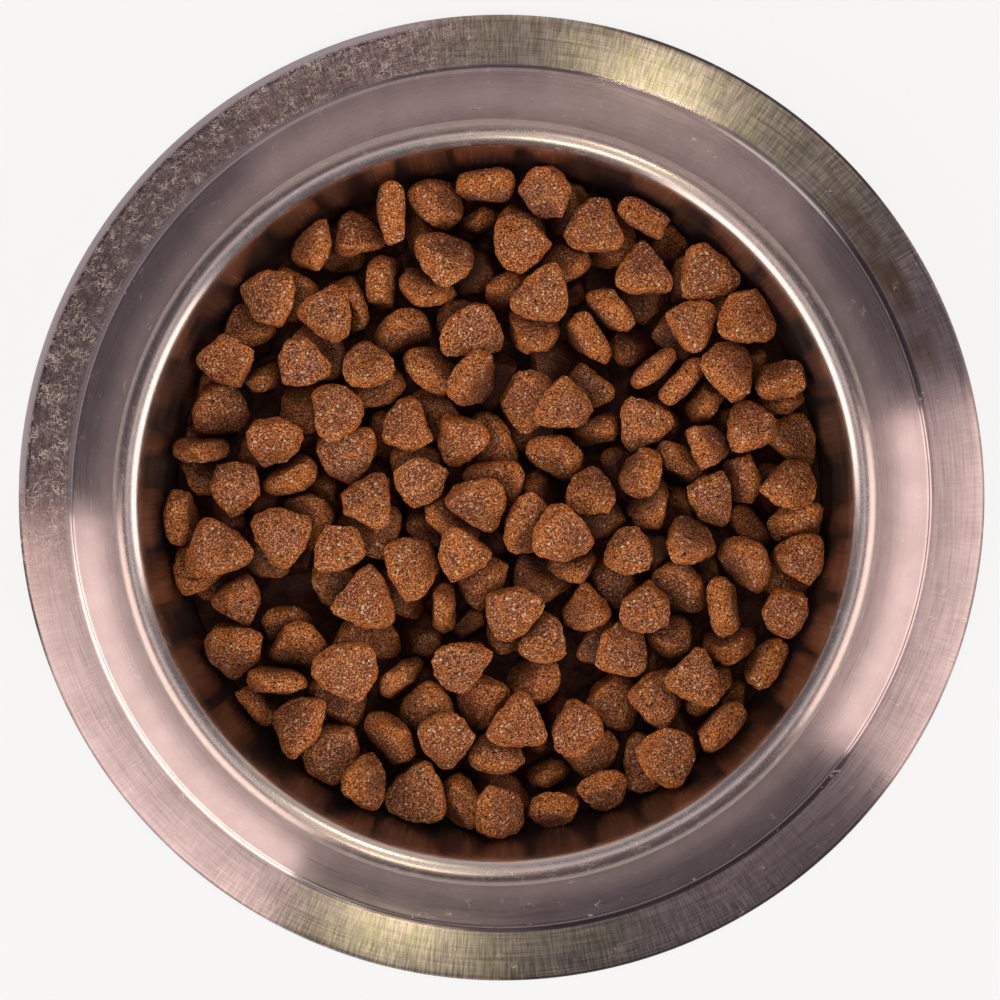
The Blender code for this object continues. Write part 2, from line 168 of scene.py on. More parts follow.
# Packed kibble low in the cup, with a rough top from noise of a roughness, lacunarity and octaves
BASE_DROP = 5.0 * MM
BASE_GAP = 0.3 * MM
BASE_RINGS = 90
BASE_TOP_MARGIN = 0.1 * MM
BASE_LUMP = 4.0 * MM
BASE_NOISE = (0.8, 2.2, 3)
BASE_ROUGHNESS = 1.6 * MM
BASE_EDGE = 0.4

# Bearings of marks on the skirt, in degrees clockwise from the picture's top: scuffs, a left edge
# with a painted dark reflection and a painted pale reflection, a crease with painted reflection, a
# brown patch, painted shade in the crease, painted dark reflections along the edge, strong radial
# strokes, painted highlights on the crease, and a painted greenish sheen
UPPER_LEFT = (-92.0, -12.0)
LEFT_EDGE = (-86.0, -14.0)
REFLECTING_CREASE = (-98.0, -20.0)
BROWN_PATCH = (50.0, 70.0)
SHADED_CREASE = ((50.0, 72.0), (132.0, 172.0))
DARK_EDGE_REFLECTIONS = ((18.0, 50.0), (132.0, 176.0), (-105.0, -96.0))
CROSS_BRUSHED = ((-25.0, 58.0), (150.0, 180.0), (-180.0, -157.0))
CREASE_HIGHLIGHTS = ((-157.0, -100.0), (34.0, 48.0))
PAINTED_SHEEN_BEARINGS = ((-2.0, 52.0), (168.0, 180.0), (-180.0, -162.0))

# Where marks start and end, as heights on the cup or as distances from the axis
LIP_START = (34.0 * MM, 38.0 * MM)
BRIGHT_ROLL = (71.3 * MM, 72.7 * MM)
WORN_CREST = (72.6 * MM, 74.4 * MM)
FLANGE_START = (90.4 * MM, 91.2 * MM)
# Rings of a brown patch; of the crease's smoother sheen, painted highlight, painted reflection and
# painted shade; and of the edge's ticks, painted dark reflection, painted pale reflection and
# painted dark reflection
BROWN_PATCH_RING = (91.5 * MM, 95.5 * MM)
CREASE_SHEEN_RING = (89.3 * MM, 90.5 * MM)
CREASE_HIGHLIGHT_RING = (89.5 * MM, 90.2 * MM)
CREASE_REFLECTION_RING = (89.7 * MM, 90.5 * MM)
SHADED_CREASE_RING = (89.9 * MM, 90.5 * MM)
TICKS_START = (97.6 * MM, 98.6 * MM)
INNER_DARK_REFLECTION_RING = (99.2 * MM, 99.5 * MM)
PAINTED_REFLECTION_START = (99.7 * MM, 100.1 * MM)
DARK_EDGE_REFLECTION_START = (100.6 * MM, 100.9 * MM)

# Marks on the steel, by their width in degrees round the bowl and their length outwards
FINE_GROOVES = (20.0, 0.16 * MM)
CUP_LINES = (9.0, 0.5 * MM)
CUP_SMEARS = (5.0, 6.0 * MM)
SKIRT_LINES = (6.0, 0.4 * MM)
SKIRT_SMEARS = (4.0, 9.0 * MM)
RADIAL_STROKES = (0.20, 4.0 * MM)
EDGE_TICKS = (0.32, 5.0 * MM)
RAGGED_EDGE = (0.8, 2.0 * MM)
SHEEN_PATCHES = (2.5, 3.0 * MM)
WAVES = (6.0, 14.0 * MM)

# Noise on the steel, as how many marks to a metre
GRIT = 3200.0
SCUFF_PATCHES = 300.0

# Scratches: length, width as a part of a noise's range, and how rare they are; and scuffs: length
# and width, how rare they are, and the turns that they lie at, in degrees
CUP_SCRATCHES = (1.6 * MM, 0.05, 0.52)
CURLED_SCUFFS = (1.8 * MM, 0.035, 0.50)
HAIR_SCRATCHES = (2.6 * MM, 0.022, 0.60)
SCUFF_SIZE = (1.4 * MM, 0.20 * MM)
SCUFF_RARITY = 0.625
SCUFF_TURNS = (8.0, 52.0, 101.0, 152.0)

# Colours of the cup
CUP_DARK = (0.47, 0.385, 0.395, 1.0)
CUP_LIGHT = (0.53, 0.435, 0.44, 1.0)
ROLL_COLOUR = (0.78, 0.72, 0.74, 1.0)
WORN_COLOUR = (0.75, 0.68, 0.66, 1.0)
PIT_COLOUR = (0.22, 0.18, 0.18, 1.0)
CUP_SCRATCH_COLOUR = (0.80, 0.74, 0.72, 1.0)

# Colours of the skirt
SKIRT_ROSY = (0.48, 0.385, 0.41, 1.0)
# Painted sheen: a greenish tint where the overhead lamps' highlights fall
PAINTED_SHEEN_COLOUR = (0.45, 0.415, 0.31, 1.0)
UPPER_LEFT_SHADE = (0.75, 0.66, 0.65, 1.0)
BRIGHT_TICK_COLOUR = (0.80, 0.72, 0.72, 1.0)
DARK_TICK_COLOUR = (0.22, 0.17, 0.18, 1.0)
BROWN_PATCH_COLOUR = (0.22, 0.13, 0.09, 1.0)
# Painted shade in the crease and painted dark reflections along the edge
PAINTED_DARK_LINE_COLOUR = (0.06, 0.045, 0.06, 1.0)
# Painted highlight on the crease
PAINTED_HIGHLIGHT_COLOUR = (0.96, 0.88, 0.88, 1.0)
SCRATCH_COLOUR = (0.95, 0.84, 0.79, 1.0)
# Painted reflection: a pale line on the left edge and in the crease
PAINTED_REFLECTION_COLOUR = (0.56, 0.50, 0.60, 1.0)

# Colours of the kibble
DARKER_FACE = (0.38, 0.114, 0.045, 1.0)
PALER_FACE = (0.49, 0.131, 0.031, 1.0)
SIDE_COLOUR = (0.74, 0.210, 0.022, 1.0)
DARK_GRAIN = (0.075, 0.018, 0.006, 1.0)
PALE_GRAIN = (1.0, 0.60, 0.37, 1.0)
HOLE_COLOUR = (0.015, 0.004, 0.002, 1.0)
CRUMB_COLOUR = (1.0, 0.60, 0.20, 1.0)
DOT_COLOUR = (1.0, 0.80, 0.56, 1.0)
# Painted shade for kibble that lies deep in the heap
PAINTED_SHADE_COLOUR = (0.045, 0.007, 0.001, 1.0)

# Kibble: grains, holes and blotches to a metre; scattered crumbs and dots as how many to a
# metre, their size and how rare they are; and the depth in millimetres over which painted shade
# darkens it
GRAINS = 2900.0
HOLES = 1300.0
BLOTCHES = 420.0
CRUMBS = (420.0, 0.16, 0.45)
DOTS = (820.0, 0.29, 0.70)
PAINTED_SHADE_DEPTHS = (1.0, 8.0)

# Floor, room and lamps
FLOOR_SIZE = 4.0
FLOOR_GAP = 0.05 * MM
FLOOR_COLOUR = (0.8, 0.8, 0.8, 1.0)
FLOOR_WHITENING = 0.85
FLOOR_MIRRORED = 0.1
ROOM_COLOUR = (0.125, 0.11, 0.12, 1.0)
PANEL_COLOUR = (1.0, 0.86, 0.74)
LAMP_COLOUR = (1.0, 0.92, 0.62)
TOP_COLOUR = (1.0, 0.93, 0.88)
PANEL_DISTANCE = 0.9
PANEL_LIFT = 0.05


# Profiles

def bend(start, radius, slope_from, slope_to, steps):
    """Points of a bend that starts at a point, for a sheet that runs outwards and down.

    A slope is the angle that the sheet falls. The bend is convex where the slope grows.
    """
    side = 1.0 if slope_to > slope_from else -1.0
    centre_x = start[0] - side * radius * sin(slope_from)
    centre_z = start[1] - side * radius * cos(slope_from)
    points = []
    for step in range(1, steps + 1):
        slope = slope_from + (slope_to - slope_from) * step / steps
        x = centre_x + side * radius * sin(slope)
        points.append((x, centre_z + side * radius * cos(slope)))
    return points


def ellipse_arc(centre, half_width, half_height, angle_from, angle_to, steps):
    points = []
    for step in range(steps + 1):
        angle = angle_from + (angle_to - angle_from) * step / steps
        points.append((centre[0] + half_width * cos(angle), centre[1] + half_height * sin(angle)))
    return points


def offset_path(path, distance):
    """The path moved sideways, to its right as it runs, with mitred corners."""
    moved = []
    for index, point in enumerate(path):
        before = path[max(index - 1, 0)]
        after = path[min(index + 1, len(path) - 1)]
        normals = []
        for a, b in ((before, point), (point, after)):
            length = hypot(b[0] - a[0], b[1] - a[1])
            if length > 0:
                normals.append(((b[1] - a[1]) / length, -(b[0] - a[0]) / length))
        mean_x = sum(n[0] for n in normals) / len(normals)
        mean_z = sum(n[1] for n in normals) / len(normals)
        stretch = distance / (mean_x ** 2 + mean_z ** 2)
        moved.append((point[0] + mean_x * stretch, point[1] + mean_z * stretch))
    return moved


def wall_radius(height):
    """Inner radius of the cup's straight wall at a height."""
    top_of_wall = BOWL_HEIGHT - CREST_INNER_DROP
    return MOUTH_RADIUS - (top_of_wall - height) * tan(WALL_DRAFT)


def floor_fillet_centre():
    """Centre of the rounded corner between the cup's wall and its floor."""
    height = FLOOR_TOP + FLOOR_FILLET
    return wall_radius(height) - FLOOR_FILLET / cos(WALL_DRAFT), height


def cup_inner_path(gap=0.0, steps=5):
    """From the middle of the floor out and up to the foot of the straight wall, less a gap."""
    centre_x, centre_z = floor_fillet_centre()
    radius = FLOOR_FILLET - gap
    corner = ellipse_arc((centre_x, centre_z), radius, radius, -pi / 2, -WALL_DRAFT, steps)
    return [(0.0, centre_z - radius)] + corner


def bend_size(radius, slope_from, slope_to):
    """How far a bend runs out and how far it falls."""
    out = radius * abs(sin(slope_to) - sin(slope_from))
    return out, radius * abs(cos(slope_to) - cos(slope_from))


def skirt_face():
    """The skirt's outer face, from the top of its neck down to the end of the turned foot."""
    foot_centre = FOOT_RADIUS - FOOT_BEND
    flange_end_x = foot_centre + FOOT_BEND * sin(FLANGE_OUTER_SLOPE)
    flange_end_z = FOOT_BEND + FOOT_BEND * cos(FLANGE_OUTER_SLOPE)
    flange_bend = flange_end_x - CREASE_RADIUS
    flange_bend /= sin(FLANGE_OUTER_SLOPE) - sin(FLANGE_INNER_SLOPE)
    flange_drop = bend_size(flange_bend, FLANGE_INNER_SLOPE, FLANGE_OUTER_SLOPE)[1]
    inner_run, inner_drop = bend_size(STEP_INNER_BEND, STEP_SLOPE, FLANGE_INNER_SLOPE)
    outer_run, outer_drop = bend_size(STEP_OUTER_BEND, FLARE_FOOT_SLOPE, STEP_SLOPE)
    flare_foot_x = CREASE_RADIUS - inner_run - outer_run
    flare_foot_z = flange_end_z + flange_drop + inner_drop + outer_drop

    neck_radius = LIP_RADIUS - SHEET - SEAM_GAP
    neck_top = BOWL_HEIGHT - CREST_OUTER_DROP - LIP_SKIRT + NECK_IN_LIP
    run, drop = bend_size(1.0, NECK_SLOPE, FLARE_FOOT_SLOPE)
    flare_height = (flare_foot_x - neck_radius) / run * drop
    neck_lean = (neck_top - flare_foot_z - flare_height) / tan(NECK_SLOPE)
    flare_top_x = neck_radius + neck_lean
    flare_bend = (flare_foot_x - flare_top_x) / run
    flare_top_z = flare_foot_z + flare_bend * drop

    path = [(neck_radius, neck_top), (flare_top_x, flare_top_z)]
    path += bend(path[-1], flare_bend, NECK_SLOPE, FLARE_FOOT_SLOPE, 6 * ARC_DETAIL)
    path += bend(path[-1], STEP_OUTER_BEND, FLARE_FOOT_SLOPE, STEP_SLOPE, ARC_DETAIL)
    path += bend(path[-1], STEP_INNER_BEND, STEP_SLOPE, FLANGE_INNER_SLOPE, ARC_DETAIL)
    path += bend(path[-1], flange_bend, FLANGE_INNER_SLOPE, FLANGE_OUTER_SLOPE, 2 * ARC_DETAIL)
    path += bend(path[-1], FOOT_BEND, FLANGE_OUTER_SLOPE, pi, 4 * ARC_DETAIL)
    path.append((foot_centre - HEM_WIDTH, 0.0))
    return path


# Kibble

def outline(shape, angle, cosine=cos):
    """Distance from a kibble's middle to its edge before it is stretched: a rounded triangle."""
    radius, _, corners, _ = shape
    return radius * (1 + corners * cosine(3 * angle) + KIBBLE_CORNER_SHARPNESS * cosine(6 * angle))


def kibble_point(shape, angle, reach, side):
    """A point of a kibble about its own middle, on one of its two crowned faces.

    Reach goes from 0 in the middle of a face to 1 on the edge, and side is +1 or -1.
    """
    _, thickness, _, stretch = shape
    distance = outline(shape, angle) * reach
    crown = (1 - reach ** KIBBLE_CROWN_POWER) ** KIBBLE_EDGE_POWER
    return (
        distance * stretch * cos(angle),
        distance / stretch * sin(angle),
        side * crown * thickness / 2,
    )


def random_shape(draw):
    """Radius, thickness, strength of the three corners, and stretch of one kibble."""
    size = 1 + KIBBLE_SIZE_SPREAD * draw.uniform(-1, 1)
    thickness = KIBBLE_THICKNESS * size * draw.uniform(*KIBBLE_THICKNESS_SPREAD)
    corners = KIBBLE_CORNERS * draw.uniform(*KIBBLE_CORNER_SPREAD)
    return KIBBLE_RADIUS * size, thickness, corners, 1 + KIBBLE_STRETCH * draw.uniform(-1, 1)


def kibble_balls(shape, layout):
    """Balls that fill out a kibble and its clearance: their places in it, and their radii."""
    core_count, edge_count, edge_size = layout
    _, thickness, _, stretch = shape
    half = thickness / 2
    balls = [(0.0, 0.0, half)]
    for step in range(core_count):
        angle = 2 * pi * step / core_count
        reach = CORE_BALL_REACH * shape[0]
        balls.append((reach * stretch * cos(angle), reach / stretch * sin(angle), half))
    for step in range(edge_count):
        angle = 2 * pi * step / edge_count
        reach = outline(shape, angle) - edge_size * half
        place = (reach * stretch * cos(angle), reach / stretch * sin(angle))
        balls.append((*place, edge_size * half))
    x, y, radii = np.array(balls).T
    return np.column_stack((x, y, np.zeros(len(x)))), radii + KIBBLE_CLEARANCE


def all_balls(shapes, layout):
    """The balls of all the kibbles, as one array of places and one of radii."""
    balls = [kibble_balls(shape, layout) for shape in shapes]
    return np.array([places for places, _ in balls]), np.array([radii for _, radii in balls])


# Settling of the heap

class Pushes:
    """The moves and turns that undo the overlaps in the heap, added up for each kibble."""

    def __init__(self, count):
        self.count = count
        self.moves = np.zeros((count, 3))
        self.spins = np.zeros((count, 3))
        self.touches = np.zeros(count)

    def add(self, kibbles, arms, pushes):
        """Pushes some kibbles, each at a point that is given from the kibble's middle."""
        spins = np.cross(arms, pushes) / TURN_ARM ** 2
        for axis in range(3):
            self.moves[:, axis] += np.bincount(kibbles, pushes[:, axis], self.count)
            self.spins[:, axis] += np.bincount(kibbles, spins[:, axis], self.count)
        self.touches += np.bincount(kibbles, minlength=self.count)


def give(arms, normals):
    """How readily kibbles move along the normals when they are pushed at the ends of the arms."""
    return 1 + (np.cross(arms, normals) ** 2).sum(axis=1) / TURN_ARM ** 2


def push_neighbours(pushes, centres, balls, radii, pairs):
    """Pushes apart the balls of neighbouring kibbles that overlap."""
    first, second = pairs
    squares = (balls ** 2).sum(axis=2)
    apart = squares[first][:, :, None] + squares[second][:, None, :]
    apart -= 2 * balls[first] @ balls[second].transpose(0, 2, 1)
    reach = radii[first][:, :, None] + radii[second][:, None, :]
    pair, i, j = np.nonzero(apart < reach ** 2)
    first = first[pair]
    second = second[pair]
    lines = balls[first, i] - balls[second, j]
    lengths = np.linalg.norm(lines, axis=1)
    normals = lines / lengths[:, None]
    first_arms = balls[first, i] - centres[first] - normals * radii[first, i][:, None]
    second_arms = balls[second, j] - centres[second] + normals * radii[second, j][:, None]
    both_give = give(first_arms, normals) + give(second_arms, normals)
    strength = (reach[pair, i, j] - lengths) / both_give
    pushes.add(first, first_arms, normals * strength[:, None])
    pushes.add(second, second_arms, -normals * strength[:, None])


def push_off_cup(pushes, centres, balls, radii):
    """Pushes the balls that reach into the cup's wall, floor or rounded corner."""
    out = np.hypot(balls[:, :, 0], balls[:, :, 1])
    height = balls[:, :, 2]
    corner_out, corner_height = floor_fillet_centre()
    across = out - corner_out
    down = corner_height - height
    away = np.hypot(across, down)
    in_corner = (across > 0) & (down > 0)
    faces = (
        ((out - wall_radius(height)) * cos(WALL_DRAFT) + radii, -cos(WALL_DRAFT), sin(WALL_DRAFT)),
        (FLOOR_TOP + radii - height, 0.0, 1.0),
        (np.where(in_corner, away + radii - FLOOR_FILLET, 0.0), -across / away, down / away),
    )
    for depth, inwards, upwards in faces:
        kibble, ball = np.nonzero(depth > 0)
        inwards = np.broadcast_to(inwards, out.shape)[kibble, ball]
        upwards = np.broadcast_to(upwards, out.shape)[kibble, ball]
        flat = balls[kibble, ball, :2] * (inwards / out[kibble, ball])[:, None]
        normals = np.column_stack((flat, upwards))
        arms = balls[kibble, ball] - centres[kibble] - normals * radii[kibble, ball][:, None]
        strength = depth[kibble, ball] / give(arms, normals)
        pushes.add(kibble, arms, normals * strength[:, None])


def turned_by(turns, spins):
    """Turn matrices after a further small turn of each, given as rotation vectors."""
    angles = np.linalg.norm(spins, axis=1)
    axes = spins / np.maximum(angles, SMALLEST_TURN)[:, None]
    cross = np.zeros((len(spins), 3, 3))
    for x, y, z in ((0, 1, 2), (1, 2, 0), (2, 0, 1)):
        cross[:, z, y] = axes[:, x]
        cross[:, y, z] = -axes[:, x]
    sine = np.sin(angles)[:, None, None]
    rest = (1 - np.cos(angles))[:, None, None]
    return (np.eye(3) + sine * cross + rest * (cross @ cross)) @ turns


def push_apart(centres, turns, balls, pairs):
    """Undoes a share of every overlap.

    Places are rounded, so that the last digits of a computer's arithmetic don't change the heap.
    """
    middles, radii = balls
    placed = np.einsum("kij,kbj->kbi", turns, middles) + centres[:, None]
    pushes = Pushes(len(centres))
    push_neighbours(pushes, centres, placed, radii, pairs)
    push_off_cup(pushes, centres, placed, radii)
    share = PUSH_SHARE / np.maximum(FEWEST_TOUCHES, pushes.touches)[:, None]
    centres = np.round(centres + pushes.moves * share, ROUNDED_DIGITS)
    turns = np.round(turned_by(turns, pushes.spins * share), ROUNDED_DIGITS)
    return centres, turns


def near_pairs(centres):
    """Pairs of kibbles that are near enough to touch."""
    lines = centres[:, None] - centres
    return np.nonzero(np.triu((lines ** 2).sum(axis=2) < PAIR_DISTANCE ** 2, 1))


def starting_places(draw):
    """Loose layers of kibble in and over the cup, before they fall."""
    places = []
    height = START_HEIGHT
    while len(places) < KIBBLES_POURED:
        room = wall_radius(height) - START_WALL_GAP
        shift_x, shift_y = draw.uniform(0, START_SPACING, 2)
        layer = []
        for row in range(-START_ROWS, START_ROWS + 1):
            for column in range(-START_ROWS, START_ROWS + 1):
                x = (column + row % 2 / 2) * START_SPACING + shift_x
                y = row * START_SPACING * sqrt(3) / 2 + shift_y
                if hypot(x, y) < room:
                    layer.append((x, y, height))
        draw.shuffle(layer)
        places += layer
        height += START_LAYER
    places = np.array(places[:KIBBLES_POURED])
    return places + draw.uniform(-START_SCATTER, START_SCATTER, places.shape)


def random_turns(draw, count):
    """Turn matrices that point every way equally often."""
    drawn = draw.normal(0, 1, (4, count))
    w, x, y, z = drawn / np.linalg.norm(drawn, axis=0)
    rows = np.array((
        (1 - 2 * (y * y + z * z), 2 * (x * y - z * w), 2 * (x * z + y * w)),
        (2 * (x * y + z * w), 1 - 2 * (x * x + z * z), 2 * (y * z - x * w)),
        (2 * (x * z - y * w), 2 * (y * z + x * w), 1 - 2 * (x * x + y * y)),
    ))
    return rows.transpose(2, 0, 1)


def settle_heap():
    """Lets the kibbles fall into the cup and push each other apart until they lie clear."""
    draw = np.random.default_rng(HEAP_SEED)
    shapes = [random_shape(draw) for _ in range(KIBBLES_POURED)]
    centres = starting_places(draw)
    turns = random_turns(draw, KIBBLES_POURED)
    rough = all_balls(shapes, ROUGH_BALLS)
    close = all_balls(shapes, CLOSE_BALLS)
    for step in range(FALL_STEPS):
        late = max(0.0, (step - FREE_FALL_STEPS) / (FALL_STEPS - FREE_FALL_STEPS))
        shake = 1 - step / FALL_STEPS
        centres[:, 2] -= FALL_FIRST * (FALL_LAST / FALL_FIRST) ** late
        centres += draw.normal(0, SHAKE_MOVE * shake, centres.shape)
        turns = turned_by(turns, draw.normal(0, SHAKE_TURN * shake, centres.shape))
        if step % PAIR_STEPS == 0:
            pairs = near_pairs(centres)
        for _ in range(PUSHES_A_STEP):
            centres, turns = push_apart(centres, turns, rough, pairs)
    for step in range(CALM_STEPS):
        if step % PAIR_STEPS == 0:
            pairs = near_pairs(centres)
        if step < CALM_FALL_STEPS:
            centres[:, 2] -= FALL_LAST
        centres, turns = push_apart(centres, turns, close, pairs)
    return [{"shape": shape, "place": place, "turn": turn}
            for shape, place, turn in zip(shapes, centres, turns)]


# Kibble meshes

def kibble_ring(kibble, reach, side, sides):
    """Points round a kibble at one reach, where the kibble lies."""
    angles = [2 * pi * step / sides for step in range(sides)]
    points = [kibble_point(kibble["shape"], angle, reach, side) for angle in angles]
    return np.array(points) @ kibble["turn"].T + kibble["place"]


def kibble_span(kibble, corners):
    """Heights of the lowest and the highest corner of a kibble's mesh."""
    sides, ring = corners
    heights = []
    for side in (1, -1):
        for reach in (1.0, ring, 0.0):
            heights += list(kibble_ring(kibble, reach, side, sides)[:, 2])
    return min(heights), max(heights)


# Meshes

def revolve(name, profile):
    """A profile turned about the Z axis, as one closed mesh with its faces outwards.

    The profile starts and ends on the axis, or else it is closed from its end to its start.
    """
    vertices = []
    rings = []
    for radius, height in profile:
        if radius == 0.0:
            rings.append([len(vertices)] * TURN_STEPS)
            vertices.append((0.0, 0.0, height))
            continue
        rings.append(list(range(len(vertices), len(vertices) + TURN_STEPS)))
        for step in range(TURN_STEPS):
            angle = 2 * pi * step / TURN_STEPS
            vertices.append((radius * cos(angle), radius * sin(angle), height))
    faces = []
    pairs = list(zip(rings, rings[1:]))
    if profile[0][0] > 0.0:
        pairs.append((rings[-1], rings[0]))
    for upper, lower in pairs:
        for step in range(TURN_STEPS):
            after = (step + 1) % TURN_STEPS
            corners = (upper[step], lower[step], lower[after], upper[after])
            face = tuple(dict.fromkeys(corners))
            if len(face) > 2:
                faces.append(face)
    mesh = bpy.data.meshes.new(name)
    mesh.from_pydata(vertices, [], faces)
    mesh.shade_smooth()
    mesh.set_sharp_from_angle(angle=SHARP_ANGLE)
    return add_piece(name, mesh)


def add_piece(name, content):
    """An object of the scene that holds a mesh, a lamp or a camera."""
    piece = bpy.data.objects.new(name, content)
    bpy.context.scene.collection.objects.link(piece)
    return piece


def cup_path(inner_roll):
    """The cup's face, from the middle of its floor up the wall, over the crest and down the lip.

    The roll into the mouth has a width and a height.
    """
    roll_width, roll_height = inner_roll
    crest_in = (CREST_RADIUS, BOWL_HEIGHT - roll_height)
    crest_out = (CREST_RADIUS, BOWL_HEIGHT - CREST_OUTER_DROP)
    face = cup_inner_path(steps=5 * ARC_DETAIL)
    width_out = LIP_RADIUS - CREST_RADIUS
    face += ellipse_arc(crest_in, roll_width, roll_height, pi, pi / 2, 4 * ARC_DETAIL)
    face += ellipse_arc(crest_out, width_out, CREST_OUTER_DROP, pi / 2, 0, 4 * ARC_DETAIL)[1:]
    face.append((LIP_RADIUS, crest_out[1] - LIP_SKIRT))
    return face


def make_cup(material):
    """The cup, whose roll into the mouth is a little wider on its face than on its back."""
    face = cup_path(CREST_INNER_ROLL)
    back = offset_path(cup_path((CREST_RADIUS - MOUTH_RADIUS, CREST_INNER_DROP)), SHEET)
    back[0] = (0.0, back[0][1])
    cup = revolve("cup_skin", face + back[::-1])
    cup.data.materials.append(material)
    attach(cup, "root")
    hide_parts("cup")


def make_skirt(material):
    face = skirt_face()
    back = offset_path(face, SHEET)
    skirt = revolve("skirt_skin", face + back[::-1])
    skirt.data.materials.append(material)
    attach(skirt, "root")
    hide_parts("skirt")


def cube_sphere(cells):
    """Directions spread evenly over a sphere, with the faces that join them."""
    index = {}
    directions = []
    faces = []

    def corner(point):
        key = tuple(round(value * cells) for value in point)
        if key not in index:
            index[key] = len(directions)
            directions.append(Vector([tan(value * pi / 4) for value in point]).normalized())
        return index[key]

    for axis in range(3):
        for side in (-1, 1):
            for row in range(cells):
                for column in range(cells):
                    square = []
                    for i, j in ((0, 0), (1, 0), (1, 1), (0, 1)):
                        point = [0.0, 0.0, 0.0]
                        point[axis] = float(side)
                        point[(axis + 1) % 3] = -1 + 2 * (row + i) / cells
                        point[(axis + 2) % 3] = -1 + 2 * (column + j) / cells
                        square.append(corner(point))
                    faces.append(tuple(square if side > 0 else square[::-1]))
    return np.array(directions), faces


def kibble_surface(directions, shape):
    """Points of a kibble's smooth form in the given directions, and how near the edge each is."""
    _, thickness, _, stretch = shape
    reach = np.hypot(directions[:, 0], directions[:, 1]) ** (2 / SKIN_CROWN_POWER)
    crown = np.abs(directions[:, 2]) ** (2 * SKIN_EDGE_POWER)
    angle = np.arctan2(directions[:, 1], directions[:, 0])
    edge = outline(shape, angle, np.cos)
    points = np.stack((
        edge * reach * stretch * np.cos(angle),
        edge * reach / stretch * np.sin(angle),
        np.sign(directions[:, 2]) * crown * thickness / 2,
    ), axis=1)
    return points, reach


def cut_flat(points, ridges, normal, cut):
    """Cuts the points off flat where they stand out furthest along the normal.

    The cut is the part of that furthest reach that stays. Points near the edge of the flat are
    marked as ridges.
    """
    normal = normal / np.linalg.norm(normal)
    out = points @ normal
    beyond = out - cut * out.max()
    ridges = np.maximum(ridges, 1 - np.abs(beyond) / RIDGE_WIDTH)
    return points - np.outer(np.maximum(beyond, 0), normal), ridges


def chipped(points, draw):
    """A kibble's form with two flat faces and a few more flats, and its ridges from 0 to 1."""
    ridges = np.zeros(len(points))
    for side in (1.0, -1.0):
        normal = np.array((*draw.normal(0, FACE_LEAN, 2), side))
        points, ridges = cut_flat(points, ridges, normal, draw.uniform(*FACE_CUT))
    for _ in range(CHIPS):
        normal = draw.normal(0, 1, 3)
        points, ridges = cut_flat(points, ridges, normal, draw.uniform(*CHIP_CUT))
    return points, ridges


def kibble_piece(name, kibble, heap_tops, draw, sphere, material):
    """One kibble with a lumpy, grainy surface, where the heap holds it."""
    directions, faces = sphere
    points, reach = kibble_surface(directions, kibble["shape"])
    points, ridges = chipped(points, draw)
    outwards = points / np.linalg.norm(points, axis=1, keepdims=True)
    start = Vector(draw.uniform(-NOISE_REACH, NOISE_REACH, 3))
    shift = np.zeros(len(points))
    for size, height in KIBBLE_LUMPS:
        lumps = [noise.noise(Vector(point) / size + start) for point in points]
        shift += height * (np.array(lumps) - LUMPS_INWARDS)
    points = points + outwards * np.minimum(shift, KIBBLE_CLEARANCE)[:, None]
    points = points @ kibble["turn"].T + kibble["place"]
    mesh = bpy.data.meshes.new(name)
    mesh.from_pydata(points.tolist(), [], faces)
    mesh.shade_smooth()
    give_values(mesh, "edge", np.maximum(reach ** 2, ridges))
    give_values(mesh, "tone", np.full(len(points), draw.uniform(0, 1)))
    give_values(mesh, "depth", depth_in_heap(points, heap_tops))
    mesh.materials.append(material)
    piece = add_piece(name, mesh)
    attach(piece, "root")
    return piece


def depth_in_heap(points, heap_tops):
    """How far points lie below the kibbles round them, in millimetres, and less by the wall;
    painted shade darkens by it.
    """
    lines = points[:, None, :2] - heap_tops[:, :2]
    near = np.hypot(lines[:, :, 0], lines[:, :, 1]) / DEPTH_REACH
    tops = heap_tops[:, 2] - DEEPEST * near ** 2
    depth = (tops.max(axis=1) - points[:, 2]) / MM
    out = np.hypot(points[:, 0], points[:, 1])
    by_wall = np.clip((out - WALL_SIDE[0]) / (WALL_SIDE[1] - WALL_SIDE[0]), 0, 1)
    return depth * (1 - WALL_LIGHT * by_wall)


def give_values(mesh, name, values):
    """Stores a value for each corner of a mesh, for its material to read."""
    stored = mesh.attributes.new(name, "FLOAT", "POINT")
    stored.data.foreach_set("value", values.astype(np.float32))


def make_heap(material):
    """Every kibble that can be seen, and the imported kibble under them."""
    heap = settle_heap()
    heap.sort(key=lambda kibble: kibble_span(kibble, LOOSE_CORNERS)[0], reverse=True)
    bed_top = kibble_span(heap[LOOSE_KIBBLES - 1], LOOSE_CORNERS)[0] - BED_GAP
    heap_tops = np.array([(*kibble["place"][:2], kibble_span(kibble, BED_CORNERS)[1])
                          for kibble in heap])
    draw = np.random.default_rng(SURFACE_SEED)
    sphere = cube_sphere(LOOSE_GRID)
    for index, kibble in enumerate(heap[:LOOSE_KIBBLES]):
        name = f"loose_kibble_{index + 1:02d}"
        piece = kibble_piece(name, kibble, heap_tops, draw, sphere, material)
        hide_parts(f"kibble_{index + 1:02d}")
    lower = []
    for kibble in heap[LOOSE_KIBBLES:]:
        lowest, highest = kibble_span(kibble, BED_CORNERS)
        if highest > bed_top + BED_SHOWS:
            kibble["place"][2] -= max(0.0, lowest - (bed_top - BED_SINK))
        if highest > bed_top - LOWER_KIBBLE_DEPTH:
            lower.append(kibble)
    sphere = cube_sphere(LOWER_GRID)
    for index, kibble in enumerate(lower):
        name = f"lower_kibble_{index + 1:03d}"
        piece = kibble_piece(name, kibble, heap_tops, draw, sphere, material)
        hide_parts("kibble_bed")
    make_base(bed_top - BASE_DROP, material)


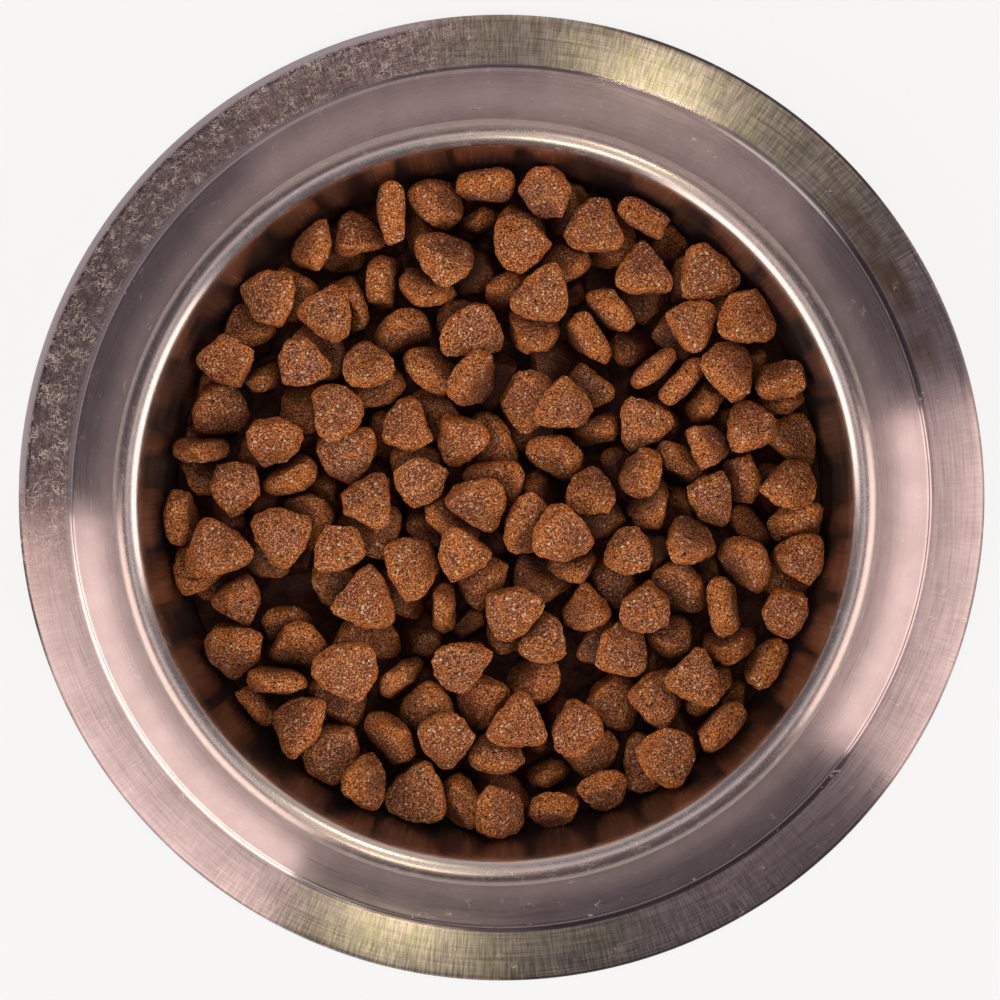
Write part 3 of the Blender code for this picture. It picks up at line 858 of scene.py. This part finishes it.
def make_base(top, material):
    """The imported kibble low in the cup, out of which the lower kibbles rise."""
    profile = [point for point in cup_inner_path(BASE_GAP, 5 * ARC_DETAIL) if point[1] < top]
    rim = wall_radius(top) - BASE_GAP
    profile += [(rim * (1 - step / BASE_RINGS), top) for step in range(BASE_RINGS)]
    profile.append((0.0, top))
    base = revolve("packed_base", profile[::-1])
    for vertex in base.data.vertices:
        if vertex.co.z > top - BASE_TOP_MARGIN:
            lumps = noise.fractal(vertex.co / BASE_LUMP, *BASE_NOISE)
            vertex.co.z += BASE_ROUGHNESS * (lumps - 0.5)
    # The base takes the heap's greatest depth, so it is painted in full shade
    for name, value in (("edge", BASE_EDGE), ("depth", DEEPEST / MM)):
        give_values(base.data, name, np.full(len(base.data.vertices), value))
    base.data.materials.append(material)
    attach(base, "root")
    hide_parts("kibble_bed")


# Materials

class Nodes:
    """Short ways to add and join the nodes of one material."""

    def __init__(self, name):
        self.material = bpy.data.materials.new(name)
        self.material.use_nodes = True
        self.tree = self.material.node_tree
        self.shader = self.tree.nodes["Principled BSDF"]

    def add(self, kind, *values, **settings):
        """A shader node with its settings, and with values or links for its first sockets."""
        node = self.tree.nodes.new("ShaderNode" + kind)
        for key, value in settings.items():
            setattr(node, key, value)
        for value, socket in zip(values, node.inputs):
            self.put(value, socket)
        return node

    def parts(self, vector):
        return self.add("SeparateXYZ", vector).outputs

    def join(self, x, y, z):
        return self.add("CombineXYZ", x, y, z).outputs[0]

    def put(self, value, socket):
        if isinstance(value, bpy.types.NodeSocket):
            self.tree.links.new(value, socket)
        else:
            socket.default_value = value

    def fill(self, node, **values):
        for name, value in values.items():
            self.put(value, node.inputs[name])

    def surface(self, name, value):
        self.put(value, self.shader.inputs[name])

    def math(self, operation, a, b=0.0):
        return self.add("Math", a, b, operation=operation).outputs[0]

    def times(self, a, b):
        return self.math("MULTIPLY", a, b)

    def plus(self, a, b):
        return self.math("ADD", a, b)

    def larger(self, a, b):
        return self.math("MAXIMUM", a, b)

    def vector(self, operation, a, b=(0.0, 0.0, 0.0), scale=None):
        node = self.add("VectorMath", a, b, operation=operation)
        if scale is not None:
            self.fill(node, Scale=scale)
        return node.outputs["Value" if operation in ("LENGTH", "DOT_PRODUCT") else "Vector"]

    def noise(self, where, scale, detail=2.0, roughness=0.5, distortion=0.0):
        node = self.add("TexNoise")
        self.fill(node, Vector=where, Scale=scale, Detail=detail, Roughness=roughness,
                  Distortion=distortion)
        return node.outputs[0]

    def spread(self, value, low, high, to_low=0.0, to_high=1.0):
        """Maps a value from low..high to to_low..to_high, held at both ends."""
        return self.add("MapRange", value, low, high, to_low, to_high, clamp=True).outputs[0]

    def mix(self, factor, a, b, blend="MIX"):
        """Mixes two colours, or two numbers where the first is a number."""
        if isinstance(a, float):
            node = self.add("Mix")
            first, output = 2, 0
        else:
            node = self.add("Mix", data_type="RGBA", blend_type=blend)
            first, output = 6, 2
        for value, socket in ((factor, 0), (a, first), (b, first + 1)):
            self.put(value, node.inputs[socket])
        return node.outputs[output]

    def window(self, value, stretch, fade):
        """1 from the low to the high end of a stretch, falling to 0 over the fade beside it."""
        low, high = stretch
        rise = self.spread(value, low - fade, low)
        return self.times(rise, self.spread(value, high, high + fade, 1.0, 0.0))

    def windows(self, value, stretches, fade):
        """1 in any of several stretches."""
        total = 0.0
        for stretch in stretches:
            total = self.larger(self.window(value, stretch, fade), total)
        return total

    def shade(self, colour, amount):
        """The colour made lighter or darker by an amount that is 1 where it stays."""
        return self.mix(1.0, colour, amount, "MULTIPLY")

    def paint(self, colour, *layers):
        """The colour under layers that each have a mask, a strength and a colour."""
        for mask, strength, layer in layers:
            colour = self.mix(self.times(mask, strength), colour, layer)
        return colour

    def cells(self, where, scale):
        """Distance to the nearest of scattered points, and a random number for that point."""
        node = self.add("TexVoronoi")
        self.fill(node, Vector=where, Scale=scale)
        number = self.add("SeparateColor", node.outputs["Color"]).outputs[0]
        return node.outputs["Distance"], number

    def attribute(self, name):
        return self.add("Attribute", attribute_name=name).outputs["Fac"]

    def bump(self, height, distance, normal=None, strength=1.0):
        node = self.add("Bump")
        self.fill(node, Strength=strength, Distance=distance, Height=height)
        if normal is not None:
            self.fill(node, Normal=normal)
        return node.outputs[0]

    def place(self):
        return self.add("TexCoord").outputs["Object"]


class Ring:
    """Where a point of the bowl lies: how far out, its bearing in degrees, and its height."""

    def __init__(self, nodes):
        self.nodes = nodes
        self.place = nodes.place()
        x, y, self.height = nodes.parts(self.place)
        flat = nodes.join(x, y, 0.0)
        self.out = nodes.vector("LENGTH", flat)
        self.direction = nodes.vector("NORMALIZE", flat)
        self.bearing = nodes.math("DEGREES", nodes.math("ARCTAN2", x, y))

    def pattern(self, marks, detail=2.0):
        """Noise with marks of a width in degrees round the bowl and a length outwards."""
        width, length = marks
        nodes = self.nodes
        around = nodes.vector("SCALE", self.direction, scale=1 / radians(width))
        x, y, _ = nodes.parts(around)
        return nodes.noise(nodes.join(x, y, nodes.times(self.out, 1 / length)), 1.0, detail)

    def between(self, ends, fade):
        """1 where a point lies between two distances from the axis."""
        return self.nodes.window(self.out, ends, fade)


def steel_nodes(name):
    """A brushed metal whose highlights spread in and out from the bowl's axis."""
    nodes = Nodes(name)
    nodes.surface("Anisotropic Rotation", 0.25)
    tangent = nodes.add("Tangent", direction_type="RADIAL", axis="Z")
    nodes.surface("Tangent", tangent.outputs[0])
    return nodes, Ring(nodes)


def scratch_marks(nodes, ring, kind):
    """Hair scratches: where a twisted noise passes its middle value, in broken stretches."""
    length, width, rarity = kind
    twisted = nodes.noise(ring.place, 1 / length, 2.0, 0.6, 1.5)
    offset = nodes.math("ABSOLUTE", nodes.math("SUBTRACT", twisted, 0.5))
    line = nodes.spread(offset, width * 0.5, width, 1.0, 0.0)
    patches = nodes.noise(ring.place, 0.7 / length, 3.0, 0.75)
    return nodes.times(line, nodes.spread(patches, rarity, rarity + 0.06))


def scuff_marks(nodes, ring, turn):
    """Short scratches, a little bent, all near one turn in degrees to the X axis."""
    length, width = SCUFF_SIZE
    cosine = cos(radians(turn))
    sine = sin(radians(turn))
    along = nodes.vector("DOT_PRODUCT", ring.place, (cosine / length, sine / length, 0.0))
    across = nodes.vector("DOT_PRODUCT", ring.place, (-sine / width, cosine / width, 0.0))
    marks = nodes.noise(nodes.join(along, across, turn), 1.0, 1.0, 0.5, 0.8)
    return nodes.spread(marks, SCUFF_RARITY, SCUFF_RARITY + 0.05)


def cup_steel():
    """Polished inside, with a satin lip that is worn on its crest."""
    nodes, ring = steel_nodes("cup_steel")
    nodes.surface("Anisotropic", 0.7)
    on_lip = nodes.spread(ring.height, *LIP_START)
    brushing = nodes.plus(nodes.times(ring.pattern(FINE_GROOVES), 0.5),
                          nodes.times(ring.pattern(CUP_LINES), 0.5))
    crest = ring.between(WORN_CREST, 0.5 * MM)
    grit = nodes.noise(ring.place, GRIT, 2.0, 0.6)
    worn = nodes.times(crest, nodes.spread(grit, 0.54, 0.62))
    pits = nodes.times(crest, nodes.spread(grit, 0.40, 0.34))
    scratches = nodes.times(scratch_marks(nodes, ring, CUP_SCRATCHES), on_lip)
    roll = nodes.times(ring.between(BRIGHT_ROLL, 0.5 * MM), on_lip)

    colour = nodes.mix(ring.pattern(CUP_SMEARS), CUP_DARK, CUP_LIGHT)
    colour = nodes.shade(colour, nodes.spread(brushing, 0.35, 0.65, 0.93, 1.05))
    nodes.surface("Base Color", nodes.paint(
        colour,
        (roll, 0.8, ROLL_COLOUR),
        (worn, 0.18, WORN_COLOUR),
        (pits, 0.2, PIT_COLOUR),
        (scratches, 0.4, CUP_SCRATCH_COLOUR),
    ))
    nodes.surface("Metallic", nodes.spread(scratches, 0.0, 1.0, 1.0, 0.7))
    polish = nodes.spread(on_lip, 0.0, 1.0, 0.22, 0.27)
    rough = nodes.plus(polish, nodes.times(worn, 0.08))
    rough = nodes.plus(rough, nodes.spread(brushing, 0.35, 0.65, -0.02, 0.03))
    nodes.surface("Roughness", rough)
    nodes.surface("Normal", nodes.bump(brushing, 0.004 * MM))
    return nodes.material


def skirt_scratches(nodes, ring, upper_left):
    """Scuffs on the upper left of the flange, and hair scratches all round."""
    scuffs = 0.0
    for turn in SCUFF_TURNS:
        scuffs = nodes.larger(scuff_marks(nodes, ring, turn), scuffs)
    scuffs = nodes.larger(scuffs, nodes.times(scratch_marks(nodes, ring, CURLED_SCUFFS), 0.8))
    patches = nodes.spread(nodes.noise(ring.place, SCUFF_PATCHES, 3.0, 0.7), 0.42, 0.60, 0.25, 1.0)
    scuffs = nodes.times(nodes.times(scuffs, patches), upper_left)
    return nodes.larger(scuffs, nodes.times(scratch_marks(nodes, ring, HAIR_SCRATCHES), 0.6))


def skirt_steel():
    """Satin steel brushed round the bowl, with radial strokes and scuffs on its flange, and
    painted shade, highlights, reflections and sheen.
    """
    nodes, ring = steel_nodes("skirt_steel")
    nodes.surface("Anisotropic", 0.95)
    on_flange = nodes.spread(ring.out, *FLANGE_START)
    upper_left = nodes.times(nodes.window(ring.bearing, UPPER_LEFT, 14.0), on_flange)

    # Brushing: grooves round the bowl, and strokes that cross them on the flange
    grooves = nodes.plus(nodes.times(ring.pattern(FINE_GROOVES), 0.45),
                         nodes.times(ring.pattern(SKIRT_LINES), 0.55))
    smears = ring.pattern(SKIRT_SMEARS, 4.0)
    crossed = nodes.spread(nodes.windows(ring.bearing, CROSS_BRUSHED, 15.0), 0.0, 1.0, 0.2, 1.0)
    cross = nodes.mix(nodes.times(on_flange, crossed), 0.5, ring.pattern(RADIAL_STROKES))

    # Short strokes at the outer edge, and scratches
    ragged = nodes.plus(ring.out, nodes.times(ring.pattern(RAGGED_EDGE), 1.6 * MM))
    at_edge = nodes.times(nodes.spread(ragged, *TICKS_START), crossed)
    ticks = ring.pattern(EDGE_TICKS)
    bright_ticks = nodes.times(nodes.spread(ticks, 0.54, 0.62), at_edge)
    dark_ticks = nodes.times(nodes.spread(ticks, 0.46, 0.38), at_edge)
    scratches = skirt_scratches(nodes, ring, upper_left)

    # A brown patch; painted shade in the crease, painted dark reflections along the edge, painted
    # pale reflections on the left edge and in the crease, and painted highlights on the crease
    brown_patch = nodes.times(nodes.window(ring.bearing, BROWN_PATCH, 5.0),
                        ring.between(BROWN_PATCH_RING, 1.5 * MM))
    brown_patch = nodes.times(brown_patch, nodes.spread(smears, 0.35, 0.6, 0.2, 0.8))
    # Painted shade: a dark line in the crease
    crease_shade = nodes.times(ring.between(SHADED_CREASE_RING, 0.4 * MM),
                              nodes.windows(ring.bearing, SHADED_CREASE, 6.0))
    # Painted dark reflections: dark lines along the outer edge
    dark_edge_reflection = nodes.times(nodes.spread(ring.out, *DARK_EDGE_REFLECTION_START),
                            nodes.windows(ring.bearing, DARK_EDGE_REFLECTIONS, 8.0))
    left_edge = nodes.window(ring.bearing, LEFT_EDGE, 8.0)
    inner_dark_reflection = nodes.times(ring.between(INNER_DARK_REFLECTION_RING, 0.15 * MM), left_edge)
    painted_dark_lines = nodes.larger(nodes.times(crease_shade, 0.6), nodes.times(dark_edge_reflection, 0.92))
    painted_dark_lines = nodes.larger(nodes.times(inner_dark_reflection, 0.7), painted_dark_lines)
    # Painted reflection: a pale line on the left edge and, weaker, in the crease
    painted_reflection = nodes.times(nodes.spread(ring.out, *PAINTED_REFLECTION_START), left_edge)
    crease_reflection = nodes.times(ring.between(CREASE_REFLECTION_RING, 0.4 * MM),
                              nodes.window(ring.bearing, REFLECTING_CREASE, 10.0))
    painted_reflection = nodes.larger(painted_reflection, nodes.times(crease_reflection, 0.45))
    # Painted highlight: a bright line on the crease where the panels shine on it
    crease_highlight = nodes.times(ring.between(CREASE_HIGHLIGHT_RING, 0.4 * MM),
                         nodes.windows(ring.bearing, CREASE_HIGHLIGHTS, 8.0))

    # Painted sheen: a greenish tint on the flange where the overhead lamps' highlights fall
    painted_sheen = nodes.spread(ring.pattern(SHEEN_PATCHES), 0.35, 0.65, 0.4, 0.9)
    painted_sheen = nodes.times(painted_sheen, nodes.windows(ring.bearing, PAINTED_SHEEN_BEARINGS, 12.0))
    colour = nodes.mix(nodes.times(painted_sheen, on_flange), SKIRT_ROSY, PAINTED_SHEEN_COLOUR)
    seen_grooves = nodes.mix(nodes.spread(on_flange, 0.0, 1.0, 0.3, 1.0), 0.5, grooves)
    colour = nodes.shade(colour, nodes.spread(seen_grooves, 0.38, 0.62, 0.80, 1.17))
    colour = nodes.shade(colour, nodes.spread(cross, 0.38, 0.62, 0.72, 1.28))
    colour = nodes.shade(colour, nodes.spread(smears, 0.3, 0.7, 0.90, 1.06))
    colour = nodes.mix(upper_left, colour, UPPER_LEFT_SHADE, "MULTIPLY")
    # The colour, with its real marks and the painted shade, highlights, reflections and sheen
    nodes.surface("Base Color", nodes.paint(
        colour,
        (bright_ticks, 0.35, BRIGHT_TICK_COLOUR),
        (dark_ticks, 0.4, DARK_TICK_COLOUR),
        (brown_patch, 1.0, BROWN_PATCH_COLOUR),
        (painted_dark_lines, 1.0, PAINTED_DARK_LINE_COLOUR),
        (crease_highlight, 0.9, PAINTED_HIGHLIGHT_COLOUR),
        (scratches, 1.0, SCRATCH_COLOUR),
        (painted_reflection, 1.0, PAINTED_REFLECTION_COLOUR),
    ))
    # Scratches and the painted reflection are less metallic
    matt = nodes.larger(scratches, painted_reflection)
    nodes.surface("Metallic", nodes.spread(matt, 0.0, 1.0, 1.0, 0.25))

    rough = nodes.plus(nodes.spread(grooves, 0.35, 0.65, 0.26, 0.32), nodes.times(scratches, 0.25))
    crease = ring.between(CREASE_SHEEN_RING, 0.4 * MM)
    nodes.surface("Roughness", nodes.math("SUBTRACT", rough, nodes.times(crease, 0.14)))
    brushed = nodes.bump(nodes.plus(grooves, nodes.times(cross, 0.25)), 0.008 * MM)
    nodes.surface("Normal", nodes.bump(ring.pattern(WAVES), 0.03 * MM, brushed))
    return nodes.material


def kibble_material():
    """Baked dough: grainy brown faces, orange-brown edges, dark holes and pale crumbs, with
    painted shade deep in the heap.
    """
    nodes = Nodes("baked_kibble")
    place = nodes.place()
    grain = nodes.noise(place, GRAINS, 1.5, 0.6)
    blotch = nodes.noise(place, BLOTCHES, 3.0, 0.6)
    holes = nodes.spread(nodes.noise(place, HOLES, 2.0, 0.6), 0.39, 0.34)
    crumbs = scattered(nodes, place, CRUMBS)
    dots = scattered(nodes, place, DOTS)
    face = nodes.mix(nodes.attribute("tone"), DARKER_FACE, PALER_FACE)
    near_edge = nodes.plus(nodes.attribute("edge"), nodes.times(blotch, 0.7))
    # Painted shade: the deeper a point lies in the heap, the darker it is painted
    painted_shade = nodes.math("POWER", nodes.spread(nodes.attribute("depth"), *PAINTED_SHADE_DEPTHS), 0.75)
    nodes.surface("Base Color", nodes.paint(
        face,
        (nodes.spread(near_edge, 0.85, 1.3), 1.0, SIDE_COLOUR),
        (nodes.spread(grain, 0.51, 0.35, 0.0, 0.96), 1.0, DARK_GRAIN),
        (nodes.spread(grain, 0.54, 0.67), 1.0, PALE_GRAIN),
        (holes, 0.9, HOLE_COLOUR),
        (crumbs, 1.0, CRUMB_COLOUR),
        (dots, 1.0, DOT_COLOUR),
        (painted_shade, 0.98, PAINTED_SHADE_COLOUR),
    ))
    nodes.surface("Roughness", nodes.spread(grain, 0.3, 0.7, 0.65, 0.3))
    nodes.surface("Specular IOR Level", 0.36)
    grainy = nodes.bump(grain, 0.35 * MM)
    raised = nodes.bump(nodes.larger(crumbs, dots), 0.12 * MM, grainy)
    nodes.surface("Normal", nodes.bump(blotch, 0.9 * MM, raised, 0.8))
    return nodes.material


def scattered(nodes, place, kind):
    """Scattered specks: a part of the points of a random pattern, each a small ball."""
    scale, size, rarity = kind
    near, chance = nodes.cells(place, scale)
    ball = nodes.spread(near, size * 0.6, size, 1.0, 0.0)
    return nodes.times(ball, nodes.spread(chance, rarity, rarity + 0.04))


def floor_material():
    """A white floor: the camera sees it near white, and it still lights and mirrors as paper."""
    nodes = Nodes("white_floor")
    nodes.surface("Base Color", FLOOR_COLOUR)
    nodes.surface("Roughness", 0.9)
    rays = nodes.add("LightPath").outputs
    white = nodes.plus(nodes.times(rays["Is Camera Ray"], FLOOR_WHITENING),
                       nodes.times(rays["Is Glossy Ray"], FLOOR_MIRRORED))
    glow = nodes.add("Emission", (1.0, 1.0, 1.0, 1.0))
    seen = nodes.add("MixShader", white, nodes.shader.outputs[0], glow.outputs[0])
    nodes.put(seen.outputs[0], nodes.tree.nodes["Material Output"].inputs["Surface"])
    return nodes.material


# Light, floor and camera

def make_floor():
    mesh = bpy.data.meshes.new("floor")
    half = FLOOR_SIZE / 2
    corners = ((-half, -half), (half, -half), (half, half), (-half, half))
    mesh.from_pydata([(x, y, -FLOOR_GAP) for x, y in corners], [], [(0, 1, 2, 3)])
    floor = add_piece("floor", mesh)
    floor.data.materials.append(floor_material())


def add_lamp(name, place, target, size, radiance, colour):
    """A soft rectangular lamp that shines as brightly as a surface of the given radiance."""
    lamp = bpy.data.lights.new(name, "AREA")
    lamp.shape = "RECTANGLE"
    lamp.size, lamp.size_y = size
    lamp.energy = radiance * pi * size[0] * size[1]
    lamp.color = colour
    holder = add_piece(name, lamp)
    holder.location = place
    holder.rotation_euler = (target - place).to_track_quat("-Z", "Y").to_euler()


def standing_panel(name, bearing, size, radiance):
    """A soft panel that stands just over the floor, at a bearing as on the skirt."""
    around = radians(bearing)
    place = Vector((sin(around), cos(around), 0)) * PANEL_DISTANCE
    place.z = PANEL_LIFT + size[1] / 2
    add_lamp(name, place, Vector((0, 0, place.z)), size, radiance, PANEL_COLOUR)


def overhead_lamp(name, where, size, radiance, colour):
    """A square lamp at a bearing, an elevation and a distance from the foot's centre."""
    bearing, elevation, distance = where
    around = radians(bearing)
    up = radians(elevation)
    place = Vector((sin(around) * cos(up), cos(around) * cos(up), sin(up))) * distance
    add_lamp(name, place, Vector((0, 0, BOWL_HEIGHT)), (size, size), radiance, colour)


def make_lights():
    standing_panel("right_panel", 103.5, (0.82, 1.15), 2.2)
    standing_panel("left_panel", 238, (0.98, 1.15), 2.2)
    standing_panel("far_card", 5, (1.7, 0.9), 0.33)
    standing_panel("low_card", 2, (2.2, 0.16), 0.6)
    overhead_lamp("first_overhead", (19, 65, 1.0), 0.10, 24.0, LAMP_COLOUR)
    overhead_lamp("second_overhead", (197, 64, 1.0), 0.10, 23.0, LAMP_COLOUR)
    overhead_lamp("top_panel", (0, 90, 1.6), 0.55, 1.3, TOP_COLOUR)


def make_world():
    world = bpy.data.worlds.new("room")
    world.use_nodes = True
    world.node_tree.nodes["Background"].inputs["Color"].default_value = ROOM_COLOUR
    bpy.context.scene.world = world


def make_camera():
    """A long lens over the bowl, a little to its upper right, with +Y to the picture's top."""
    aim = Vector((0.0, 0.0, FOOT_BEND))
    place = Vector((*CAMERA_OFFSET, CAMERA_HEIGHT))
    camera = bpy.data.cameras.new("camera")
    distance = (place - aim).length
    camera.lens = camera.sensor_width * distance / (PHOTO_PIXELS * FOOT_RADIUS / FOOT_PIXEL_RADIUS)
    camera.shift_x = (PHOTO_PIXELS / 2 - FOOT_CENTRE_PIXELS[0]) / PHOTO_PIXELS
    camera.shift_y = (FOOT_CENTRE_PIXELS[1] - PHOTO_PIXELS / 2) / PHOTO_PIXELS
    holder = add_piece("camera", camera)
    back = (place - aim).normalized()
    right = Vector((0, 1, 0)).cross(back).normalized()
    holder.location = place
    holder.rotation_euler = Matrix((right, back.cross(right), back)).transposed().to_euler()
    bpy.context.scene.camera = holder


def main():
    make_camera()
    make_cup(cup_steel())
    make_skirt(skirt_steel())
    make_heap(kibble_material())
    make_floor()
    make_world()
    make_lights()
    bpy.context.scene.view_settings.view_transform = "Standard"


main()
